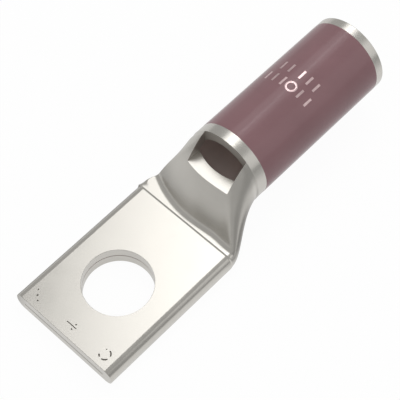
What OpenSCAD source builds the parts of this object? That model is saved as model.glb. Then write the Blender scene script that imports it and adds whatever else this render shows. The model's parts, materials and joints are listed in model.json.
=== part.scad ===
// Cable lug: one length of copper tube. The barrel stays round and takes the cable, the tongue is
// pressed flat with a stud hole, and the neck between them is cut open by an inspection window.
// X runs from the stud hole to the cable mouth and Z is up. The origin is on the stud hole's axis,
// at the underside of the tongue.

/* [Barrel] */
// Outside diameter of the barrel
barrel_d = 10.7; // [9.5:0.1:13]
// Wall thickness of the tube
wall_t = 1.4; // [1:0.05:1.8]
// Length of the barrel, from the window's upright face to the cable mouth
barrel_len = 23.1; // [12:0.1:40]
// Height of the barrel's axis above the underside of the tongue
axis_h = 6.95; // [5.5:0.05:8]
// Chamfer round the inside of the cable mouth
mouth_chamfer = 0.3; // [0.1:0.05:0.6]

/* [Tongue] */
// Width of the tongue
tongue_w = 15.7; // [14:0.1:20]
// Thickness of the tongue
tongue_t = 2.8; // [2.2:0.1:3.6]
// Distance from the stud hole's axis to the square end
end_len = 9; // [7:0.1:16]
// Distance from the stud hole's axis to the step behind the pad
pad_len = 11.15; // [9:0.05:18]
// Height of the step behind the pad
step_h = 0.1; // [0.05:0.01:0.2]
// Diameter of the stud hole
stud_d = 8.7; // [4.3:0.1:10.5]
// Height of the hairline gap between the two flattened walls
seam_t = 0.08; // [0.05:0.01:0.15]

/* [Neck] */
// Length of the neck, from the step to the window's upright face
neck_len = 7.35; // [6.5:0.05:12]
// Length of the flat land between the step and the foot of the slope
land_len = 0.45; // [0.2:0.05:1.5]
// Extra height of the slope's middle over a straight ramp, as a share of its rise
slope_bulge = 0.055; // [0:0.005:0.1]
// How far the slope falls back towards its sides, in millimetres a square millimetre
slope_crown = 0.04; // [0.02:0.005:0.06]
// Size of the rounding at the foot of the slope
foot_round = 0.9; // [0.3:0.1:1.5]
// How much fuller than an ellipse the neck's shoulders are, halfway along it
shoulder = 0.45; // [0:0.05:0.8]

/* [Window] */
// Width of the window
window_w = 6.7; // [4:0.1:7.5]
// Height of the window's floor above the underside of the tongue
window_h = 8; // [6.5:0.1:9]

/* [Hidden] */
$fn = 96;
barrel_r = barrel_d / 2;
bore_r = barrel_r - wall_t;
step_x = pad_len;
barrel_x = step_x + neck_len;
mouth_x = barrel_x + barrel_len;
foot_x = step_x + land_len;
root_h = tongue_t + step_h;
seam_h = tongue_t / 2;
side_r = tongue_t / 2 + 0.03;
// The pressed neck runs a little way into the tongue and into the barrel, and its skin is a hair
// inside theirs, so that the three overlap without faces that almost touch
lap = 0.3;
hair = 0.04;
// Sections along the neck, and columns across each section
RINGS = 26;
COLUMNS = 28;

function mix(a, b, t) = a + (b - a) * t;
function ease(t) = let (c = min(1, max(0, t))) c * c * (3 - 2 * c);
function round_max(a, b, k) = max(a, b) + pow(max(k - abs(a - b), 0), 2) / (4 * k);

// Share of the way along the neck: 0 at the step, 1 at the barrel
function share(x) = min(1, max(0, (x - step_x) / neck_len));

// Top of the neck along its middle: level on the land, rounded at the foot, then a bulged ramp
function ramp_h(x) =
    let (s = (x - foot_x) / (barrel_x - foot_x))
    mix(root_h, axis_h + barrel_r - hair, s + 4 * slope_bulge * s * (1 - s));
function slope_h(x) = min(round_max(root_h, ramp_h(x), foot_round), axis_h + barrel_r - hair);
function slope_tilt(x) = (slope_h(x + 0.01) - slope_h(x - 0.01)) / 0.02;

// The neck's half width, the half width of its flat part, its underside and its widest height
function half_w(x) = mix(barrel_r, tongue_w / 2, pow(1 - ease(mix(0.03, 0.96, share(x))), 1.5)) - hair;
function flat_w(x) = (tongue_w / 2 - side_r) * pow(1 - share(x), 2.4);
function under_h(x) = (axis_h - barrel_r) * ease(share(x)) + hair * ease(8 * share(x));
function wide_h(x) = mix(seam_h, axis_h, pow(ease(share(x)), 1.7));
function fullness(x) = 2 + shoulder * 4 * share(x) * (1 - share(x));

// Rise of an end arc, at y across the neck, as a share of its height
function arc(y, flat, half, power = 2) =
    pow(max(0, 1 - pow(max(0, abs(y) - flat) / (half - flat), power)), 1 / power);

// Heights of the neck's outer skin at x along and y across
function skin_top(x, y, half) =
    let (dome = wide_h(x) + (slope_h(x) - wide_h(x)) * arc(y, flat_w(x), half, fullness(x)))
    min(dome, max(slope_h(x - slope_crown * y * y), wide_h(x)));
function skin_under(x, y, half) =
    wide_h(x) - (wide_h(x) - under_h(x)) * arc(y, flat_w(x), half);

// Heights of the hollow inside it, one wall in, which closes to a hairline towards the tongue
function floor_h(x) = under_h(x) + mix(seam_h, wall_t, ease(2 * share(x)));
function roof_h(x, y) =
    let (back = x - slope_crown * y * y)
    slope_h(back) - wall_t * sqrt(1 + pow(slope_tilt(back), 2));
function hollow_mid(x) = max(wide_h(x), floor_h(x));
function hollow_flat(x, half) = min(flat_w(x), half / 2);
function least_gap(x) = seam_t / 4 * (1 - share(x));
function hollow_under(x, y, half) =
    hollow_mid(x) - (hollow_mid(x) - floor_h(x) + least_gap(x)) * arc(y, hollow_flat(x, half), half);
function hollow_top(x, y, half) =
    let (reach = max(roof_h(x, 0) - hollow_mid(x), least_gap(x)))
    let (dome = hollow_mid(x) + reach * arc(y, hollow_flat(x, half), half, fullness(x)))
    min(dome, max(roof_h(x, y), hollow_mid(x) + least_gap(x) * arc(y, 0, half)));

// One closed section: over the top from right to left, then back underneath
function outer_ring(x) =
    let (half = half_w(x))
    concat(
        [for (i = [0 : COLUMNS]) let (y = half * sin(mix(-90, 90, i / COLUMNS))) [x, y, skin_top(x, y, half)]],
        [for (i = [COLUMNS - 1 : -1 : 1])
            let (y = half * sin(mix(-90, 90, i / COLUMNS))) [x, y, skin_under(x, y, half)]]
    );
function inner_ring(x) =
    let (half = half_w(x) - wall_t)
    concat(
        [for (i = [0 : COLUMNS]) let (y = half * sin(mix(-90, 90, i / COLUMNS))) [x, y, hollow_top(x, y, half)]],
        [for (i = [COLUMNS - 1 : -1 : 1])
            let (y = half * sin(mix(-90, 90, i / COLUMNS))) [x, y, hollow_under(x, y, half)]]
    );

// A closed solid through a row of sections that all have the same number of points
module loft(rings) {
    count = len(rings[0]);
    last = len(rings) - 1;
    points = [for (ring = rings) for (point = ring) point];
    sides = [
        for (r = [0 : last - 1]) for (i = [0 : count - 1])
            let (j = (i + 1) % count)
            [r * count + i, r * count + j, (r + 1) * count + j, (r + 1) * count + i]
    ];
    near = [[for (i = [count - 1 : -1 : 0]) i]];
    far = [[for (i = [0 : count - 1]) last * count + i]];
    polyhedron(points, concat(near, sides, far), convexity = 6);
}

// Flat tongue: a slab whose long edges are the rounded folds of the tube
module tongue() {
    translate([-end_len, 0, 0])
        rotate([90, 0, 90])
            linear_extrude(end_len + step_x + lap)
                intersection() {
                    translate([-tongue_w / 2, 0])
                        square([tongue_w, tongue_t]);
                    union() {
                        for (side = [-1, 1])
                            translate([side * (tongue_w / 2 - side_r), seam_h])
                                circle(side_r);
                        translate([-(tongue_w / 2 - side_r), seam_h - side_r])
                            square([tongue_w - 2 * side_r, 2 * side_r]);
                    }
                }
}

module neck() {
    xs = [for (i = [0 : RINGS]) mix(step_x, barrel_x, i / RINGS)];
    loft([for (x = concat(xs, [barrel_x + lap])) outer_ring(x)]);
}

module barrel() {
    translate([barrel_x, 0, axis_h])
        rotate([0, 90, 0])
            cylinder(h = barrel_len, r = barrel_r);
}

// Everything that is empty inside the tube
module hollow() {
    xs = [for (i = [1 : RINGS]) mix(step_x, barrel_x, i / RINGS)];
    loft([for (x = concat(xs, [barrel_x + lap])) inner_ring(x)]);
    translate([barrel_x, 0, axis_h])
        rotate([0, 90, 0])
            cylinder(h = barrel_len + 1, r = bore_r);
    translate([mouth_x - mouth_chamfer, 0, axis_h])
        rotate([0, 90, 0])
            cylinder(h = 2 * mouth_chamfer, r1 = bore_r, r2 = bore_r + 2 * mouth_chamfer);
    seam_w = tongue_w - 2 * wall_t;
    translate([-end_len - 1, -seam_w / 2, seam_h - seam_t / 2])
        cube([end_len + 1 + foot_x, seam_w, seam_t]);
}

module window() {
    translate([step_x, -window_w / 2, window_h])
        cube([neck_len, window_w, 2 * barrel_d]);
}

module cable_lug() {
    color("silver")
        difference() {
            union() {
                tongue();
                neck();
                barrel();
            }
            hollow();
            window();
            translate([0, 0, -1])
                cylinder(h = tongue_t + 2, d = stud_d);
        }
}

cable_lug();
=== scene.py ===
"""Tin-plated cable lug with a brown colour band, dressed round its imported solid.

Lengths in the formulas and tables are millimetres along the lug's own axes: X from the stud hole to
the cable mouth, Y across the tongue with +Y on the left, Z up from the contact face. Meshes are
placed in metres.
"""

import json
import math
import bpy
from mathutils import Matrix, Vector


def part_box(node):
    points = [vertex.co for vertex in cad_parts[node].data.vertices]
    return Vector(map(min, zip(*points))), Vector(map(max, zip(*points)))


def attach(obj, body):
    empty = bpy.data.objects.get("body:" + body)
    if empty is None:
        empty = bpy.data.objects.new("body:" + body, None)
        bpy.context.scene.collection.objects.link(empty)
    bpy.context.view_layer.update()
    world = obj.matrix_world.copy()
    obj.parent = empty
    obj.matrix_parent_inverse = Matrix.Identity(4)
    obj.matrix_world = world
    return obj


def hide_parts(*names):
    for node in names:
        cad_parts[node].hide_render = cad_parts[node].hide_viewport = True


bl_info = {
    "name": "Cable lug",
    "version": (1, 0, 0),
    "blender": (4, 5, 0),
    "location": "3D View > Sidebar > Cable lug",
    "description": "Builds a tin-plated cable lug with its colour band, marks and studio",
    "category": "Object",
}

import bmesh
import bpy
from bpy.props import FloatProperty, FloatVectorProperty, IntProperty, PointerProperty
from mathutils import Matrix, Vector

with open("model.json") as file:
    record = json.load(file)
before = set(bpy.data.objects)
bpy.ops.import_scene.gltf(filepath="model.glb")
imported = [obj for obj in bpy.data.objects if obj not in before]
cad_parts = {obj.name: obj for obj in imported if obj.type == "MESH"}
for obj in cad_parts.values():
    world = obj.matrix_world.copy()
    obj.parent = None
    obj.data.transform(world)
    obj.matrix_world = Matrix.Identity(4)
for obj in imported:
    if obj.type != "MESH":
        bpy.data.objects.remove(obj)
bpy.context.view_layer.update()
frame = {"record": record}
LOW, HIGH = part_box("cable_lug")
MOUNTS = {mount["name"]: mount for mount in frame["record"]["mounts"]}
MM = 0.001
AXIS = MOUNTS["cable_bore"]["pos_m"][2]
BORE = MOUNTS["cable_bore"]["dims"]
STUD = MOUNTS["stud_hole"]["dims"]


def linear(code):
    """A colour written as #RRGGBB, as the linear values that a shader takes."""
    parts = [int(code[i : i + 2], 16) / 255 for i in (1, 3, 5)]
    return tuple(p / 12.92 if p <= 0.04045 else ((p + 0.055) / 1.055) ** 2.4 for p in parts)


# ---------------------------------------------------------------- sizes and colours


def length(name, description, default):
    return FloatProperty(
        name=name, description=description, default=default, unit="LENGTH", precision=5
    )


def number(name, description, default):
    return FloatProperty(name=name, description=description, default=default)


def colour(name, description, code):
    return FloatVectorProperty(
        name=name,
        description=description,
        default=linear(code),
        subtype="COLOR",
        size=3,
        min=0,
        max=1,
    )


class LugSizes(bpy.types.PropertyGroup):
    axis_h: length("Axis height", "Height of the barrel's axis over the contact face", AXIS)
    barrel_r: length("Barrel radius", "Outside radius of the barrel", HIGH.z - AXIS)
    bore_r: length("Bore radius", "Inside radius of the barrel", BORE["r_mm"] * MM)
    mouth_x: length("Mouth", "Place of the cable mouth along the lug", HIGH.x)
    end_x: length("Tongue end", "Place of the tongue's square end", LOW.x)
    tongue_w: length("Tongue width", "Width of the tongue", HIGH.y - LOW.y)
    tongue_t: length("Tongue thickness", "Thickness of the tongue", STUD["length_mm"] * MM)
    stud_r: length("Stud hole radius", "Radius of the stud hole", STUD["r_mm"] * MM)
    step_x: length("Step", "Place of the pressed step behind the pad", 0.01115)
    step_run: length("Step run", "Length over which the step rises", 0.0002)
    step_h: length("Step height", "Height of the step behind the pad", 0.0001)
    land: length("Land", "Flat land between the step and the foot of the slope", 0.0008)
    neck: length("Neck length", "From the step to the barrel", 0.00735)
    foot_round: length("Foot rounding", "Length over which the slope's foot is rounded", 0.0009)
    crease: length("Shoulder crease", "Rounding where the slope meets the neck's sides", 0.0003)
    window_w: length("Window width", "Width of the inspection window", 0.0067)
    window_h: length("Window floor", "Height of the window's floor", 0.008)
    seam_t: length("Seam", "Gap between the two flattened walls", 0.00008)
    valley: length("Neck valley", "Depth of the valley between neck and barrel", 0.00006)
    edge: length("Edge break", "Tumbled rounding on the outside edges", 0.00005)
    band_start: length("Band start", "Where the colour band starts", 0.01995)
    band_end: length("Band end", "Where the colour band ends", 0.0404)
    coat: length("Paint thickness", "Thickness of the band's paint", 0.000015)
    fold: number("Fold", "Fullness of the tongue's folded edges, 2 for round", 2.3)
    slope_bulge: number("Slope bulge", "Extra height of its middle, as a share of its rise", 0.075)
    slope_crown: number("Slope crown", "Fall towards its left side, mm for each square mm", 0.04)
    hollow_crown: number("Hollow crown", "Fall of its roof to the sides, mm per square mm", 0.075)
    shoulder: number("Shoulder", "How much fuller than an ellipse the neck's shoulders are", 0.45)
    rings: IntProperty(name="Neck rings", description="Sections along the neck", default=70, min=20)


PLAIN_NUMBERS = ("fold", "slope_bulge", "slope_crown", "hollow_crown", "shoulder", "rings")


class LugColours(bpy.types.PropertyGroup):
    tin: colour("Tin plate", "Satin tin plate on the outside", "#CAC7C1")
    # Lighter and pinker than the outside tin: painted light in the dim tube
    bore: colour("Inside tin", "Dull tin inside the tube", "#D6C9C4")
    sheared: colour("Sheared tin", "Matt tin on the window's sheared faces", "#CAC5BF")
    # Darker than the tin: painted shade at the bottom of the stamped marks
    stamp: colour("Stamped marks", "Dull metal at the bottom of the stamped marks", "#8A857E")
    paint: colour("Band paint", "Brown paint of the colour band", "#86666A")
    mark: colour("Band marks", "Pale foil of the band's plain marks", "#DCC2C3")
    floor: colour("Floor", "Studio floor", "#F2F2F2")
    air: colour("Studio", "Light of the studio round the lug", "#D2D2D1")


# ---------------------------------------------------------------- fixed numbers

# The folds' radius is a little over half the tongue's thickness
FOLD_SWELL = 0.03

# How the neck's widths and heights change along it: the share of its narrowing that is done at the
# barrel, and the powers that shape its half width, its flat part and its widest height
NARROWED = 0.96
NARROW_POWER = 1.5
FLAT_POWER = 2.4
WIDEST_POWER = 1.7

# The slope's right side: how far it lies back, the width over which it falls back, and the share of
# that which its shoulder takes up again, from how far out and over what width
RIGHT_BACK = 0.3
RIGHT_RUN = 5
SHOULDER_SHARE = 0.55
SHOULDER_START = 3.5
SHOULDER_RUN = 3

# How much squarer the neck's sides are near the step
RIGHT_SQUARE = 0.8
LEFT_SQUARE = 1.6

# Distance across over which the shoulder's crease comes in, and the least rounding it can have
CREASE_RUN = 2
LEAST_SOFT = 1e-6

# How far before the barrel the valley lies, and its length
VALLEY_BEFORE = 0.4
VALLEY_RUN = 0.28

# Step along the slope used to measure its tilt
TILT_STEP = 0.01

# Columns across the tongue's flat and round its fold, and the turns of a rounded outside edge
FLAT_COLUMNS = 28
FOLD_COLUMNS = 26
EDGE_TURNS = (0, 30, 60, 90)

# Two sections this close together keep the shading crisp between them
CRISP = 0.02

# Sections up the step, and the share of one section that the neck's last one keeps off the barrel
STEP_RINGS = 6
LAST_SHARE = 0.3

# Rounding of the mouth's outside edge, in edge breaks, and the chamfer inside the mouth
MOUTH_EDGES = 1.5
MOUTH_CHAMFER = 0.3

# Degrees between the hollow's columns, and its sections along the neck
HOLLOW_TURN = 3
HOLLOW_RINGS = 40

# Break of the stud hole's edges, and how far its punch flares out past them
HOLE_BREAK = 0.03
HOLE_FLARE = 0.4
HOLE_COLUMNS = 144

# The seam's blade starts before the tongue's end and runs on past the foot of the slope. The groove
# at the end is given as places from the end with half heights, and the one round the stud hole as
# a half width and a half height
SEAM_BEFORE_END = 1
SEAM_PAST_FOOT = 0.6
SEAM_MOUTH = ((-0.1, 0.26), (0.16, 0.03))
SEAM_RELIEF = (5.2, 0.07)

# How far the window's right edge stands in from its full width
WINDOW_INSET = 0.12

# Stamps near the tongue's end: dots as places and radii, a dash between two corners, and a ring in
# arcs of degrees. The dots and the ring's stroke narrow from the top to the bottom, by the shares
# given, and the stroke thins to a least share at the ends of each arc.
STAMP_DEPTH = 0.1
STAMP_DOTS = (
    (-6.98, 6.13, 0.1),
    (-7.56, 5.66, 0.13),
    (-8.03, 5.12, 0.11),
    (-7.13, -0.35, 0.11),
    (-7.88, -0.37, 0.11),
    (-6.9, -5.1, 0.08),
)
DOT_BOTTOM, DOT_TOP = 0.6, 1.25
STAMP_DASH = ((-7.57, -0.76), (-7.45, 0.76))
RING_MIDDLE = (-7.47, -5.4)
RING_R = 0.68
RING_ARCS = ((124, 160), (184, 252), (-74, -8))
RING_STROKE = 0.1
RING_BOTTOM, RING_TOP = 0.6, 1.3
RING_THIN = 0.15
ARC_STEPS = 12

# Face slots of the body's finishes, in the order in which they are given to it
TIN, INSIDE, PAINT, STAMP_SHADED, SHEARED = range(5)

# Faces of the band lie at most this far inside the barrel's outside
BAND_SKIN = 0.2

# Largest angle in degrees that is shaded smooth, on the body and on the band's marks
BODY_SMOOTH = 11
MARK_SMOOTH = 30

# Plain marks on the band, at places along the lug and turns round it in degrees, and their
# thickness in coats of paint
MARK_ROWS = ((29.6, (123.3, 108.7, 79.7, 66, 53)), (31.75, (117.1, 104.7, 92.3, 74, 60)))
MARK_BAR = (1.35, 0.3)
MARK_RING = (29.58, 93.6)
MARK_RING_R, MARK_RING_STROKE = 0.66, 0.14
MARK_COATS = 1.6

# Size of the faint clouds in the metals' colour and gloss, and depth of their tumbled dents
METAL_CLOUD = 3.5
METAL_DENT = 0.004

# Share of its light that the floor gives as its own, where it is seen directly and in the metal
FLOOR_DIRECT = 0.96
FLOOR_IN_METAL = 0.7

# How the floor's light changes in the metal: an axis, two places along it, and ramp stops between
FLOOR_RAMPS = (
    # Lit along the lug, and fading off to its right
    ("Y", -60, 60, ((0.0, 0.5), (0.2, 0.6), (0.36, 1.0), (0.55, 1.0), (0.62, 0.85))),
    # Shade on the tongue's left, across the lug and then along it
    ("Y", 0, 40, ((0.17, 0.0), (0.225, 0.8), (0.3, 0.65), (0.45, 0.2), (0.6, 0.0))),
    ("X", -20, 20, ((0.2, 0.0), (0.3, 1.0), (0.8, 1.0), (0.95, 0.0))),
    # Shade on the neck's right, across the lug and then along it
    ("Y", -40, 0, ((0.4, 0.0), (0.5, 0.4), (0.6, 0.75), (0.76, 0.9), (0.83, 0.55), (0.95, 0.0))),
    ("X", 0, 40, ((0.3, 0.0), (0.4, 1.0), (0.49, 1.0), (0.54, 0.0))),
)

# How the studio's light changes round the lug: a direction, and ramp stops for nearness to it
AIR_RAMPS = (
    # Darker to the lug's right
    ((0.0, -0.94, 0.34), ((0.7, 1.0), (0.88, 0.76))),
    # Brighter low down past the tongue's end
    ((-0.93, 0.35, 0.1), ((0.94, 0.81), (0.99, 1.0))),
)

# The floor's side and how far it lies under the lug, in metres
FLOOR_SIDE = 3
FLOOR_DROP = 0.00002

# The camera's place in metres, the directions of its right and up, and its lens
CAMERA_PLACE = (-0.0449445, -0.0556344, 0.1408167)
CAMERA_RIGHT = (0.68433, -0.72917, -0.00144)
CAMERA_UP = (0.62724, 0.58767, 0.51109)
CAMERA_LENS = 119.076
SENSOR_W = 36


# ---------------------------------------------------------------- making and finishing pieces


def clear_selection():
    if bpy.context.object and bpy.context.object.mode != "OBJECT":
        bpy.ops.object.mode_set(mode="OBJECT")
    bpy.ops.object.select_all(action="DESELECT")


def alone(piece):
    """Makes the piece the only one that the next operator acts on."""
    clear_selection()
    bpy.context.view_layer.objects.active = piece
    piece.select_set(True)


def tube_through(name, sections, slot=TIN):
    """Starts from a flat disc and extrudes its face from each section to the next."""
    clear_selection()
    bpy.ops.mesh.primitive_circle_add(vertices=len(sections[0]), radius=MM, fill_type="NGON")
    piece = bpy.context.active_object
    piece.name = piece.data.name = name
    bpy.ops.object.mode_set(mode="EDIT")
    mesh = bmesh.from_edit_mesh(piece.data)
    mesh.verts.layers.int.new("column")
    for i, section in enumerate(sections):
        if i:
            bpy.ops.mesh.extrude_region_move()
        mesh = bmesh.from_edit_mesh(piece.data)
        column = mesh.verts.layers.int["column"]
        if not i:
            for vert in mesh.verts:
                vert[column] = vert.index
        for vert in mesh.verts:
            if vert.select:
                vert.co = Vector(section[vert[column]]) * MM
    for face in mesh.faces:
        face.material_index = slot
    bmesh.update_edit_mesh(piece.data)
    bpy.ops.mesh.select_all(action="SELECT")
    bpy.ops.mesh.normals_make_consistent(inside=False)
    bpy.ops.object.mode_set(mode="OBJECT")
    return piece


def block(name, low, high, slot=TIN):
    """A square block between two corners."""
    clear_selection()
    middle = [(a + b) / 2 * MM for a, b in zip(low, high)]
    size = [(b - a) * MM for a, b in zip(low, high)]
    bpy.ops.mesh.primitive_cube_add(size=1, location=middle, scale=size)
    bpy.ops.object.transform_apply(location=True, rotation=True, scale=True)
    piece = bpy.context.active_object
    piece.name = piece.data.name = name
    for face in piece.data.polygons:
        face.material_index = slot
    return piece


def join(name, parts):
    """Joins parts into one piece, with its origin at the frame's own."""
    alone(parts[0])
    for part in parts:
        part.select_set(True)
    bpy.ops.object.join()
    piece = bpy.context.active_object
    bpy.ops.object.transform_apply(location=True, rotation=True, scale=True)
    piece.name = piece.data.name = name
    return piece


def cut(piece, tool):
    """Cuts the tool's shape out of the piece and clears the tool away."""
    for material in piece.data.materials:
        tool.data.materials.append(material)
    modifier = piece.modifiers.new("cut", "BOOLEAN")
    modifier.operation = "DIFFERENCE"
    modifier.solver = "EXACT"
    modifier.object = tool
    alone(piece)
    bpy.ops.object.modifier_apply(modifier="cut")
    bpy.data.objects.remove(tool)


# ---------------------------------------------------------------- the lug's own shape


def mix(a, b, t):
    return a + (b - a) * t


def ease(t):
    t = min(1.0, max(0.0, t))
    return t * t * (3 - 2 * t)


def round_min(a, b, k):
    return min(a, b) - max(k - abs(a - b), 0) ** 2 / (4 * k)


def arc(y, flat, half, power=2.0):
    """Rise of an end arc, at y across, as a share of its height."""
    return max(0.0, 1 - (max(0.0, abs(y) - flat) / (half - flat)) ** power) ** (1 / power)


class Form:
    """Heights and widths of the pressed tube, worked out from the sizes."""

    def __init__(self, sizes):
        for name in sizes.__annotations__:
            value = getattr(sizes, name)
            setattr(self, name, value if name in PLAIN_NUMBERS else value / MM)
        self.barrel_x = self.step_x + self.neck
        self.foot_x = self.step_x + self.land
        self.root_h = self.tongue_t + self.step_h
        self.seam_h = self.tongue_t / 2
        self.side_r = self.tongue_t / 2 + FOLD_SWELL
        self.wall = self.barrel_r - self.bore_r

    def share(self, x):
        return min(1.0, max(0.0, (x - self.step_x) / self.neck))

    def back(self, y):
        """How far the slope lies behind its middle at y across; its right side is fuller."""
        if y > 0:
            return self.slope_crown * y * y
        shoulder = SHOULDER_SHARE * ease((-y - SHOULDER_START) / SHOULDER_RUN)
        return RIGHT_BACK * ease(-y / RIGHT_RUN) * (1 - shoulder)

    def slope_h(self, x):
        up = x - self.foot_x
        # The foot curves up gently from the land into the ramp
        if up < self.foot_round / 3:
            up = self.foot_round / 3 * max(0.0, up / self.foot_round + 2 / 3) ** 3
        s = up / (self.barrel_x - self.foot_x)
        top = self.axis_h + self.barrel_r
        return min(mix(self.root_h, top, s + 4 * self.slope_bulge * s * (1 - s)), top)

    def half_w(self, x):
        narrow = ease(NARROWED * self.share(x))
        return mix(self.barrel_r, self.tongue_w / 2, (1 - narrow) ** NARROW_POWER)

    def flat_w(self, x):
        return (self.tongue_w / 2 - self.side_r) * (1 - self.share(x)) ** FLAT_POWER

    def under_h(self, x):
        return (self.axis_h - self.barrel_r) * ease(self.share(x))

    def wide_h(self, x):
        return mix(self.seam_h, self.axis_h, ease(self.share(x)) ** WIDEST_POWER)

    def fullness(self, x, y=0.0):
        """Power of the neck's side curve, 2 for an ellipse; it is squarer on the left."""
        flank = 1 - self.share(x)
        square = RIGHT_SQUARE if y < 0 else LEFT_SQUARE
        return 2 + self.shoulder * 4 * self.share(x) * flank + square * flank**3

    def skin_top(self, x, y, half):
        soft = self.crease * min(1.0, abs(y) / CREASE_RUN) + LEAST_SOFT
        flat, wide = self.flat_w(x), self.wide_h(x)
        # The dome stands a crease's rounding over the slope, so that the land stays flat
        top = self.slope_h(x) + soft * (1 - self.share(x))
        dome = wide + (top - wide) * arc(y, flat, half, self.fullness(x, y))
        slope = max(self.slope_h(x - self.back(y)), wide)
        pressed = max(round_min(dome, slope, soft), wide)
        # The step rises over a short run, and its ends carry on the tongue's flat and folds
        rise = ease((x - self.step_x) / self.step_run)
        return mix(min(pressed, self.tongue_side(y, 0)), pressed, rise)

    def skin_under(self, x, y, half):
        wide = self.wide_h(x)
        pressed = wide - (wide - self.under_h(x)) * arc(y, self.flat_w(x), half)
        rise = ease((x - self.step_x) / self.step_run)
        return mix(2 * self.seam_h - self.tongue_side(y, 0), pressed, rise)

    def into_valley(self, x, y, z):
        """Draws the skin in a little where the neck runs into the barrel."""
        off = (x - self.barrel_x + VALLEY_BEFORE) / VALLEY_RUN
        near = 1 - self.valley / self.barrel_r * math.exp(-(off**2))
        return x, y * near, mix(self.axis_h, z, near)

    def tongue_side(self, y, inset):
        """Top of the tongue: flat, with the fold of the tube along each edge."""
        radius = self.side_r - inset
        out = min(1.0, max(0.0, abs(y) - (self.tongue_w / 2 - self.side_r)) / radius)
        fold = self.seam_h + radius * (1 - out**self.fold) ** (1 / self.fold)
        return min(self.tongue_t - inset, fold)

    def roof_h(self, x, y):
        back = x - self.hollow_crown * y * y
        rise = self.slope_h(back + TILT_STEP) - self.slope_h(back - TILT_STEP)
        return self.slope_h(back) - self.wall * math.hypot(1, rise / (2 * TILT_STEP))

    def floor_h(self, x):
        return self.under_h(x) + mix(self.seam_h, self.wall, ease(2 * self.share(x)))

    def hollow(self, x, y, half, side):
        """Height of the hollow's roof (side 1) or floor (side -1)."""
        middle = max(self.wide_h(x), self.floor_h(x))
        flat = min(self.flat_w(x), half / 2)
        least = self.seam_t / 4 * (1 - self.share(x))
        if side < 0:
            return middle - (middle - self.floor_h(x) + least) * arc(y, flat, half)
        reach = max(self.roof_h(x, 0) - middle, least)
        dome = middle + reach * arc(y, flat, half, self.fullness(x))
        return min(dome, max(self.roof_h(x, y), middle + least * arc(y, 0, half)))


def over_and_back(angles, x, half, top, under):
    """One closed section: over the top from right to left, then back underneath."""
    ys = [half * math.sin(a) for a in angles]
    return [(x, y, top(y)) for y in ys] + [(x, y, under(y)) for y in reversed(ys[1:-1])]


def round_section(form, angles, x, radius):
    """A round section about the barrel's axis."""

    def edge(y):
        return math.sqrt(max(0.0, radius * radius - y * y))

    return over_and_back(
        angles, x, radius, lambda y: form.axis_h + edge(y), lambda y: form.axis_h - edge(y)
    )


def flat_section(form, angles, x, inset=0):
    """A section of the flat tongue, its outline drawn in by the inset."""
    return over_and_back(
        angles,
        x,
        form.tongue_w / 2 - inset,
        lambda y: form.tongue_side(y, inset),
        lambda y: 2 * form.seam_h - form.tongue_side(y, inset),
    )


def neck_section(form, angles, x):
    """A section of the pressed neck, drawn in by the valley before the barrel."""
    half = form.half_w(x)
    ring = over_and_back(
        angles,
        x,
        half,
        lambda y: form.skin_top(x, y, half),
        lambda y: form.skin_under(x, y, half),
    )
    return [form.into_valley(*point) for point in ring]


def skin_sections(form):
    # A column runs exactly along the tongue's crisp top edge, and the columns lie closer beyond it
    flat_end = (1 - (form.seam_h / form.side_r) ** form.fold) ** (1 / form.fold)
    crisp = form.tongue_w / 2 - form.side_r * (1 - flat_end)
    corner = math.asin(crisp / (form.tongue_w / 2))
    inner = [corner * i / FLAT_COLUMNS for i in range(FLAT_COLUMNS + 1)]
    outer = [mix(corner, math.pi / 2, i / FOLD_COLUMNS) for i in range(1, FOLD_COLUMNS + 1)]
    right = inner + outer
    angles = [-a for a in reversed(right[1:])] + right

    sections = []
    for turn in EDGE_TURNS:
        turn = math.radians(turn)
        x = form.end_x + form.edge * (1 - math.cos(turn))
        sections.append(flat_section(form, angles, x, form.edge * (1 - math.sin(turn))))
    for x in (form.step_x - CRISP, form.step_x):
        sections.append(flat_section(form, angles, x))

    step_end = form.step_x + form.step_run
    xs = [mix(form.step_x, step_end, i / STEP_RINGS) for i in range(1, STEP_RINGS + 1)]
    steps = form.rings + LAST_SHARE
    xs += [mix(step_end, form.barrel_x, i / steps) for i in range(1, form.rings + 1)]
    sections += [neck_section(form, angles, x) for x in xs]

    bare = form.barrel_r - 2 * form.coat
    painted = form.barrel_r - form.coat
    for x, radius in (
        (form.barrel_x, bare),
        (form.band_start - CRISP, bare),
        (form.band_start, painted),
        (form.band_end, painted),
        (form.band_end + CRISP, bare),
    ):
        sections.append(round_section(form, angles, x, radius))
    back = form.edge * MOUTH_EDGES
    for turn in reversed(EDGE_TURNS):
        turn = math.radians(turn)
        x = form.mouth_x - back * (1 - math.cos(turn))
        sections.append(round_section(form, angles, x, bare - back * (1 - math.sin(turn))))
    return sections


def hollow_sections(form):
    angles = [math.radians(turn) for turn in range(-90, 90 + HOLLOW_TURN, HOLLOW_TURN)]
    sections = []
    for i in range(1, HOLLOW_RINGS):
        x = mix(form.step_x, form.barrel_x, i / HOLLOW_RINGS)
        half = form.half_w(x) - form.wall
        sections.append(
            over_and_back(
                angles,
                x,
                half,
                lambda y: form.hollow(x, y, half, 1),
                lambda y: form.hollow(x, y, half, -1),
            )
        )
    for x, radius in (
        (form.barrel_x - CRISP, form.bore_r),
        (form.mouth_x - MOUTH_CHAMFER, form.bore_r),
        (form.mouth_x + MOUTH_CHAMFER, form.bore_r + 2 * MOUTH_CHAMFER),
    ):
        sections.append(round_section(form, angles, x, radius))
    return sections


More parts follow.
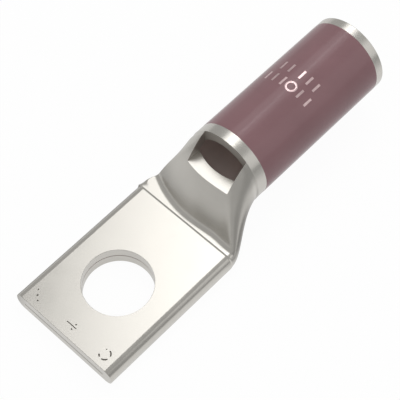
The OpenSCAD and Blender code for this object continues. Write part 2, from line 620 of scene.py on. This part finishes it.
def stud_hole_tool(form):
    """A round punch whose flared ends break the hole's edges."""
    turns = [2 * math.pi * i / HOLE_COLUMNS for i in range(HOLE_COLUMNS)]
    wide = form.stud_r + HOLE_BREAK + HOLE_FLARE
    sections = []
    for z, radius in (
        (-HOLE_FLARE, wide),
        (HOLE_BREAK, form.stud_r),
        (form.tongue_t - HOLE_BREAK, form.stud_r),
        (form.tongue_t + HOLE_FLARE, wide),
    ):
        sections.append([(radius * math.cos(t), radius * math.sin(t), z) for t in turns])
    return tube_through("stud_punch", sections)


def seam_mouth_tool(form, seam_w):
    """A wedge that opens the seam into a shallow groove along the tongue's end."""
    wedge = []
    for past_end, gap in SEAM_MOUTH:
        x, low, high = form.end_x + past_end, form.seam_h - gap, form.seam_h + gap
        wedge.append([(x, -seam_w, low), (x, seam_w, low), (x, seam_w, high), (x, -seam_w, high)])
    return tube_through("seam_wedge", wedge)


def stamp_tool(form):
    """Plain shallow stamps near the tongue's end: a few dots, a dash and a broken ring."""
    top = form.tongue_t
    parts = []
    for x, y, radius in STAMP_DOTS:
        clear_selection()
        bpy.ops.mesh.primitive_cone_add(
            vertices=16,
            radius1=radius * DOT_BOTTOM * MM,
            radius2=radius * DOT_TOP * MM,
            depth=2 * STAMP_DEPTH * MM,
            location=(x * MM, y * MM, top * MM),
        )
        parts.append(bpy.context.active_object)
    low, high = STAMP_DASH
    parts.append(block("dash", (*low, top - STAMP_DEPTH), (*high, top + STAMP_DEPTH)))
    middle = Vector((*RING_MIDDLE, top))
    deep = Vector((0, 0, STAMP_DEPTH))
    for start, stop in RING_ARCS:
        strokes = []
        for i in range(ARC_STEPS + 1):
            turn = math.radians(mix(start, stop, i / ARC_STEPS))
            wide = RING_STROKE * math.sqrt(max(RING_THIN, 1 - (2 * i / ARC_STEPS - 1) ** 4))
            way = Vector((math.cos(turn), math.sin(turn), 0))
            strokes.append(
                [
                    middle + way * (RING_R - RING_BOTTOM * wide) - deep,
                    middle + way * (RING_R + RING_BOTTOM * wide) - deep,
                    middle + way * (RING_R + RING_TOP * wide) + deep,
                    middle + way * (RING_R - RING_TOP * wide) + deep,
                ]
            )
        parts.append(tube_through("ring_stamp", strokes))
    tool = join("stamps", parts)
    # The stamps' faces take the tin darkened with painted shade
    for face in tool.data.polygons:
        face.material_index = STAMP_SHADED
    return tool


def window_tool(form):
    """A square punch whose upright faces leave sheared metal."""
    punch = block(
        "window_punch",
        (form.step_x, -form.window_w / 2 + WINDOW_INSET, form.window_h),
        (form.barrel_x, form.window_w / 2, form.axis_h + 3 * form.barrel_r),
    )
    for face in punch.data.polygons:
        face.material_index = SHEARED if abs(face.normal.z) < 0.5 else TIN
    return punch


def paint_band(form, body):
    """Gives the band's finish to the faces outside the barrel, from the band's start to its end."""
    for face in body.data.polygons:
        across, up = face.center.y / MM, face.center.z / MM - form.axis_h
        outside = math.hypot(across, up) > form.barrel_r - BAND_SKIN
        if outside and form.band_start - CRISP < face.center.x / MM < form.band_end + CRISP:
            face.material_index = PAINT


class LUG_OT_body(bpy.types.Operator):
    """Builds the pressed and punched tube: tongue, neck and barrel"""

    bl_idname = "lug.body"
    bl_label = "Lug body"

    def execute(self, context):
        form = Form(context.scene.lug_sizes)
        body = tube_through("lug_body", skin_sections(form))
        for finish in (satin_tin, dull_tin, band_paint, stamped_tin, sheared_tin):
            body.data.materials.append(finish(context.scene.lug_colours))
        # The tube's inside takes the matt tin whose colour is lightened with painted light
        cut(body, tube_through("hollow_core", hollow_sections(form), slot=INSIDE))
        seam_w, seam_h, half_t = form.tongue_w / 2 - form.wall, form.seam_h, form.seam_t / 2
        seam_low = (form.end_x - SEAM_BEFORE_END, -seam_w, seam_h - half_t)
        seam_high = (form.foot_x + SEAM_PAST_FOOT, seam_w, seam_h + half_t)
        cut(body, block("seam_blade", seam_low, seam_high, slot=INSIDE))
        # The two walls' edges are rounded off, which widens the seam at the end and round the hole
        cut(body, seam_mouth_tool(form, seam_w))
        wide, high = SEAM_RELIEF
        relief_low, relief_high = (-wide, -wide, seam_h - high), (wide, wide, seam_h + high)
        cut(body, block("seam_relief", relief_low, relief_high, slot=INSIDE))
        cut(body, window_tool(form))
        cut(body, stud_hole_tool(form))
        cut(body, stamp_tool(form))
        paint_band(form, body)
        alone(body)
        bpy.ops.object.shade_smooth_by_angle(angle=math.radians(BODY_SMOOTH))
        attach(body, "root")
        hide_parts("cable_lug")
        return {"FINISHED"}


# ---------------------------------------------------------------- the band's plain marks


class LUG_OT_marks(bpy.types.Operator):
    """Builds the band's two rows of plain marks, laid round the barrel"""

    bl_idname = "lug.marks"
    bl_label = "Band marks"

    def execute(self, context):
        form = Form(context.scene.lug_sizes)
        thick = form.coat * MARK_COATS
        long, wide = MARK_BAR
        parts = []
        for x, turn in [(x, turn) for x, turns in MARK_ROWS for turn in turns]:
            clear_selection()
            bpy.ops.mesh.primitive_cube_add(size=1, scale=(long * MM, wide * MM, thick * MM))
            bpy.ops.object.transform_apply(scale=True)
            bpy.ops.object.mode_set(mode="EDIT")
            bpy.ops.mesh.subdivide(number_cuts=3)
            bpy.ops.object.mode_set(mode="OBJECT")
            parts.append(self.wrap(form, bpy.context.active_object, x, turn, thick))
        clear_selection()
        bpy.ops.mesh.primitive_torus_add(
            major_segments=48,
            minor_segments=8,
            major_radius=MARK_RING_R * MM,
            minor_radius=MARK_RING_STROKE * MM,
        )
        ring = bpy.context.active_object
        for vert in ring.data.vertices:
            vert.co.z *= thick / 2 / MARK_RING_STROKE
        parts.append(self.wrap(form, ring, *MARK_RING, thick))
        marks = join("band_marks", parts)
        marks.data.materials.clear()
        marks.data.materials.append(mark_foil(context.scene.lug_colours))
        alone(marks)
        bpy.ops.object.shade_smooth_by_angle(angle=math.radians(MARK_SMOOTH))
        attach(marks, "root")
        return {"FINISHED"}

    def wrap(self, form, part, x, turn, thick):
        """Lays a flat part round the barrel, its top level with the lug's full radius."""
        for vert in part.data.vertices:
            radius = form.barrel_r - thick / 2 + vert.co.z / MM
            angle = math.radians(turn) - vert.co.y / MM / form.barrel_r
            vert.co = (
                vert.co.x + x * MM,
                radius * math.cos(angle) * MM,
                (form.axis_h + radius * math.sin(angle)) * MM,
            )
        return part


# ---------------------------------------------------------------- materials


def add_node(tree, kind, settings=(), links=(), values=(), stops=()):
    """Adds a node with its settings, and its inputs' links and values by name or number.

    The stops are a ramp's places and shades.
    """
    node = tree.nodes.new(kind)
    for i, (place, shade) in enumerate(stops):
        element = node.color_ramp.elements[0] if i == 0 else node.color_ramp.elements.new(place)
        if i == 0:
            node.color_ramp.elements.remove(node.color_ramp.elements[1])
            element.position = place
        element.color = (*shade, 1) if isinstance(shade, tuple) else (shade, shade, shade, 1)
    for name, value in dict(settings).items():
        setattr(node, name, value)
    for name, value in dict(values).items():
        node.inputs[name].default_value = value
    for name, source in dict(links).items():
        tree.links.new(source, node.inputs[name])
    return node


def new_material(name):
    """An empty material, its node tree, and the place on the piece that its patterns follow."""
    material = bpy.data.materials.new(name)
    material.use_nodes = True
    tree = material.node_tree
    tree.nodes.clear()
    return material, tree, add_node(tree, "ShaderNodeTexCoord").outputs["Object"]


def scaled(shade, factor):
    return tuple(min(1.0, part * factor) for part in shade)


def clouded(shade, low, high=1.0):
    """Ramp stops for a shade that clouds from one share of itself to another."""
    return ((0.35, scaled(shade, low)), (0.65, scaled(shade, high)))


def metal(name, shade, rough, spread, grain_mm, dent, metallic=1.0):
    """Shared build of the plated metals: clouded colour and gloss, and tumbled dents."""
    material, tree, place = new_material(name)
    cloud = add_node(
        tree,
        "ShaderNodeTexNoise",
        links={"Vector": place},
        values={"Scale": 1 / (METAL_CLOUD * MM), "Detail": 4.0, "Roughness": 0.55},
    ).outputs["Fac"]
    grain = add_node(
        tree,
        "ShaderNodeTexNoise",
        links={"Vector": place},
        values={"Scale": 1 / (grain_mm * MM), "Detail": 3.0, "Roughness": 0.6},
    ).outputs["Fac"]
    least, most = rough - spread, rough + spread
    gloss = add_node(
        tree,
        "ShaderNodeMapRange",
        links={"Value": cloud},
        values={"From Min": 0.3, "From Max": 0.7, "To Min": least, "To Max": most},
    )
    tint = add_node(
        tree, "ShaderNodeValToRGB", links={"Fac": cloud}, stops=clouded(shade, 0.97, 1.03)
    )
    bump = add_node(
        tree,
        "ShaderNodeBump",
        links={"Height": grain},
        values={"Strength": dent, "Distance": METAL_DENT * MM},
    )
    surface = add_node(
        tree,
        "ShaderNodeBsdfPrincipled",
        links={
            "Base Color": tint.outputs["Color"],
            "Roughness": gloss.outputs["Result"],
            "Normal": bump.outputs["Normal"],
        },
        values={"Metallic": metallic},
    )
    add_node(tree, "ShaderNodeOutputMaterial", links={"Surface": surface.outputs["BSDF"]})
    return material


def satin_tin(colours):
    # Electroplated tin over pressed copper, tumbled: bright but not mirror-like, faintly clouded
    return metal(
        "satin_tin_plate", colours.tin, rough=0.25, spread=0.02, grain_mm=0.35, dent=0.04
    )


def dull_tin(colours):
    # Tin that the tumbling media don't reach: the same metal, matt inside the tube, its colour
    # lighter and pinker than outside as painted light in the dim tube
    return metal(
        "dull_tin_inside",
        colours.bore,
        rough=0.5,
        spread=0.05,
        grain_mm=0.3,
        dent=0.3,
        metallic=0.35,
    )


def sheared_tin(colours):
    # Faces left by the window's punch: torn fine and matt, so they catch light from all round
    return metal(
        "sheared_tin",
        colours.sheared,
        rough=0.42,
        spread=0.04,
        grain_mm=0.15,
        dent=0.4,
        metallic=0.85,
    )


def stamped_tin(colours):
    # Bottom of the struck marks: rough, with painted shade darkening its colour, so that the marks
    # read dark
    return metal("stamped_tin", colours.stamp, rough=0.5, spread=0.05, grain_mm=0.1, dent=0.4)


def band_paint(colours):
    # Brown enamel sprayed round the barrel: semi-gloss, with a very slight orange peel
    material, tree, place = new_material("brown_band_enamel")
    cloud = add_node(
        tree,
        "ShaderNodeTexNoise",
        links={"Vector": place},
        values={"Scale": 1 / (5 * MM), "Detail": 2.0},
    ).outputs["Fac"]
    peel = add_node(
        tree,
        "ShaderNodeTexNoise",
        links={"Vector": place},
        values={"Scale": 1 / (0.5 * MM), "Detail": 1.0},
    ).outputs["Fac"]
    shades = clouded(colours.paint, 0.97, 1.03)
    tint = add_node(tree, "ShaderNodeValToRGB", links={"Fac": cloud}, stops=shades)
    bump = add_node(
        tree,
        "ShaderNodeBump",
        links={"Height": peel},
        values={"Strength": 0.2, "Distance": 0.003 * MM},
    )
    surface = add_node(
        tree,
        "ShaderNodeBsdfPrincipled",
        links={"Base Color": tint.outputs["Color"], "Normal": bump.outputs["Normal"]},
        values={"Roughness": 0.17, "IOR": 1.32},
    )
    add_node(tree, "ShaderNodeOutputMaterial", links={"Surface": surface.outputs["BSDF"]})
    return material


def mark_foil(colours):
    # Pale hot-stamped foil: mostly metallic, so that it brightens where the light strikes
    material, tree, place = new_material("pale_mark_foil")
    worn = add_node(
        tree,
        "ShaderNodeTexNoise",
        links={"Vector": place},
        values={"Scale": 1 / (0.4 * MM), "Detail": 3.0},
    ).outputs["Fac"]
    shades = clouded(colours.mark, 0.85)
    tint = add_node(tree, "ShaderNodeValToRGB", links={"Fac": worn}, stops=shades)
    surface = add_node(
        tree,
        "ShaderNodeBsdfPrincipled",
        links={"Base Color": tint.outputs["Color"]},
        values={"Metallic": 0.85, "Roughness": 0.3},
    )
    add_node(tree, "ShaderNodeOutputMaterial", links={"Surface": surface.outputs["BSDF"]})
    return material


def studio_floor(colours):
    # Matt white card that keeps its shadows, lit to white where it is seen directly and lit from
    # place to place where it is seen in the metal
    material, tree, place = new_material("white_floor_card")
    fibre = add_node(
        tree, "ShaderNodeTexNoise", links={"Vector": place}, values={"Scale": 1 / (0.8 * MM)}
    ).outputs["Fac"]
    shades = clouded(colours.floor, 0.99)
    white = add_node(tree, "ShaderNodeValToRGB", links={"Fac": fibre}, stops=shades)
    card = add_node(tree, "ShaderNodeBsdfDiffuse", links={"Color": white.outputs["Color"]})

    # How much of the light is the card's own depends on whether it is seen directly or in the metal
    seen = add_node(tree, "ShaderNodeLightPath").outputs
    direct = add_node(
        tree,
        "ShaderNodeMath",
        {"operation": "MULTIPLY"},
        links={0: seen["Is Camera Ray"]},
        values={1: FLOOR_DIRECT},
    ).outputs[0]
    bounced = add_node(
        tree,
        "ShaderNodeMath",
        {"operation": "MAXIMUM"},
        links={0: seen["Is Glossy Ray"], 1: seen["Is Transmission Ray"]},
    ).outputs[0]
    amount = add_node(
        tree,
        "ShaderNodeMath",
        {"operation": "MULTIPLY_ADD"},
        links={0: bounced, 2: direct},
        values={1: FLOOR_IN_METAL},
    ).outputs[0]

    # In the metal its light follows the table of ramps
    parts = add_node(tree, "ShaderNodeSeparateXYZ", links={"Vector": place}).outputs
    ramps = []
    for axis, low, high, stops in FLOOR_RAMPS:
        along = add_node(
            tree,
            "ShaderNodeMapRange",
            links={"Value": parts[axis]},
            values={"From Min": low * MM, "From Max": high * MM},
        ).outputs["Result"]
        ramp = add_node(tree, "ShaderNodeValToRGB", links={"Fac": along}, stops=stops)
        ramps.append(ramp.outputs["Color"])
    lit, left, by_tongue, right, by_neck = ramps
    left_shade = add_node(
        tree, "ShaderNodeMath", {"operation": "MULTIPLY"}, links={0: left, 1: by_tongue}
    ).outputs[0]
    shade = add_node(
        tree,
        "ShaderNodeMath",
        {"operation": "MULTIPLY_ADD"},
        links={0: right, 1: by_neck, 2: left_shade},
    ).outputs[0]
    clear = add_node(
        tree, "ShaderNodeMath", {"operation": "SUBTRACT"}, links={1: shade}, values={0: 1.0}
    ).outputs[0]
    in_metal = add_node(
        tree, "ShaderNodeMath", {"operation": "MULTIPLY"}, links={0: lit, 1: clear}
    ).outputs[0]
    level = add_node(
        tree,
        "ShaderNodeMath",
        {"operation": "MAXIMUM"},
        links={0: seen["Is Camera Ray"], 1: in_metal},
    ).outputs[0]
    glow = add_node(tree, "ShaderNodeEmission", links={"Strength": level})
    both = add_node(
        tree, "ShaderNodeMixShader", links={0: amount, 1: card.outputs[0], 2: glow.outputs[0]}
    )
    add_node(tree, "ShaderNodeOutputMaterial", links={"Surface": both.outputs[0]})
    return material


def studio_air(colours):
    # Even grey studio, whose light changes towards the directions in the table
    air = bpy.data.worlds.new("studio_air")
    air.use_nodes = True
    tree = air.node_tree
    way = add_node(tree, "ShaderNodeTexCoord").outputs["Generated"]
    strength = None
    for toward, stops in AIR_RAMPS:
        near = add_node(
            tree,
            "ShaderNodeVectorMath",
            {"operation": "DOT_PRODUCT"},
            links={0: way},
            values={1: toward},
        ).outputs["Value"]
        ramp = add_node(tree, "ShaderNodeValToRGB", links={"Fac": near}, stops=stops)
        patch = ramp.outputs["Color"]
        if strength:
            patch = add_node(
                tree, "ShaderNodeMath", {"operation": "MULTIPLY"}, links={0: strength, 1: patch}
            ).outputs[0]
        strength = patch
    background = tree.nodes["Background"]
    background.inputs["Color"].default_value = (*colours.air, 1)
    tree.links.new(strength, background.inputs["Strength"])
    return air


# ---------------------------------------------------------------- studio


def lamp(name, place, size, watts, aim=None, turn=0, shows=True):
    bpy.ops.object.light_add(type="AREA", location=place)
    light = bpy.context.active_object
    light.name = name
    light.data.shape = "RECTANGLE"
    light.data.size, light.data.size_y = size
    light.data.energy = watts
    light.rotation_euler = (0, 0, math.radians(turn))
    if aim:
        way = Vector(place) - Vector(aim)
        light.rotation_euler = way.to_track_quat("Z", "Y").to_euler()
    light.visible_glossy = shows


class LUG_OT_studio(bpy.types.Operator):
    """Builds the floor, the soft lamps, the studio's air and the camera"""

    bl_idname = "lug.studio"
    bl_label = "Studio"

    def execute(self, context):
        scene = context.scene
        colours = scene.lug_colours
        clear_selection()
        bpy.ops.mesh.primitive_plane_add(size=FLOOR_SIDE, location=(0, 0, 0))
        floor = bpy.context.active_object
        floor.name = "studio_floor"
        bpy.ops.object.mode_set(mode="EDIT")
        bpy.ops.mesh.subdivide(number_cuts=3)
        bpy.ops.transform.translate(value=(0, 0, -FLOOR_DROP))
        bpy.ops.object.mode_set(mode="OBJECT")
        floor.data.materials.append(studio_floor(colours))

        # The overhead box lies along the view, with a brighter tube in it; the side box is weaker
        lamp("soft_box", (0.171, 0.1028, 0.27), size=(0.135, 0.27), watts=0.162, turn=-55.2)
        lamp("soft_box_tube", (0.1832, 0.0897, 0.269), size=(0.015, 0.27), watts=0.045, turn=-55.2)
        lamp(
            "side_box", (0.2, -0.21, 0.165), size=(0.24, 0.2), watts=0.0754, aim=(0.02, 0, 0.007)
        )
        lamp("fill", (0.0, 0.0, 0.45), size=(0.45, 0.45), watts=0.6, shows=False)

        scene.world = studio_air(colours)

        right, up = Vector(CAMERA_RIGHT), Vector(CAMERA_UP)
        bpy.ops.object.camera_add()
        camera = bpy.context.active_object
        camera.name = "camera"
        turned = Matrix((right, up, right.cross(up))).transposed().to_4x4()
        camera.matrix_world = Matrix.Translation(CAMERA_PLACE) @ turned
        camera.data.sensor_width = SENSOR_W
        camera.data.lens = CAMERA_LENS
        camera.data.clip_start, camera.data.clip_end = 0.005, 20
        scene.camera = camera
        scene.view_settings.view_transform = "Standard"
        return {"FINISHED"}


# ---------------------------------------------------------------- add-on


class LUG_PT_panel(bpy.types.Panel):
    """Lists the lug's pieces and its studio"""

    bl_idname = "LUG_PT_panel"
    bl_label = "Cable lug"
    bl_space_type = "VIEW_3D"
    bl_region_type = "UI"
    bl_category = "Cable lug"

    def draw(self, context):
        layout = self.layout
        for piece in PIECES:
            layout.operator(piece.bl_idname)
        for group in (context.scene.lug_sizes, context.scene.lug_colours):
            box = layout.box()
            for name in group.__annotations__:
                box.prop(group, name)


PIECES = (LUG_OT_studio, LUG_OT_body, LUG_OT_marks)
CLASSES = (LugSizes, LugColours, *PIECES, LUG_PT_panel)


def register():
    for item in CLASSES:
        bpy.utils.register_class(item)
    bpy.types.Scene.lug_sizes = PointerProperty(type=LugSizes)
    bpy.types.Scene.lug_colours = PointerProperty(type=LugColours)


def unregister():
    del bpy.types.Scene.lug_colours
    del bpy.types.Scene.lug_sizes
    for item in reversed(CLASSES):
        bpy.utils.unregister_class(item)


def main():
    register()
    bpy.ops.lug.studio()
    bpy.ops.lug.body()
    bpy.ops.lug.marks()


if __name__ == "__main__":
    main()
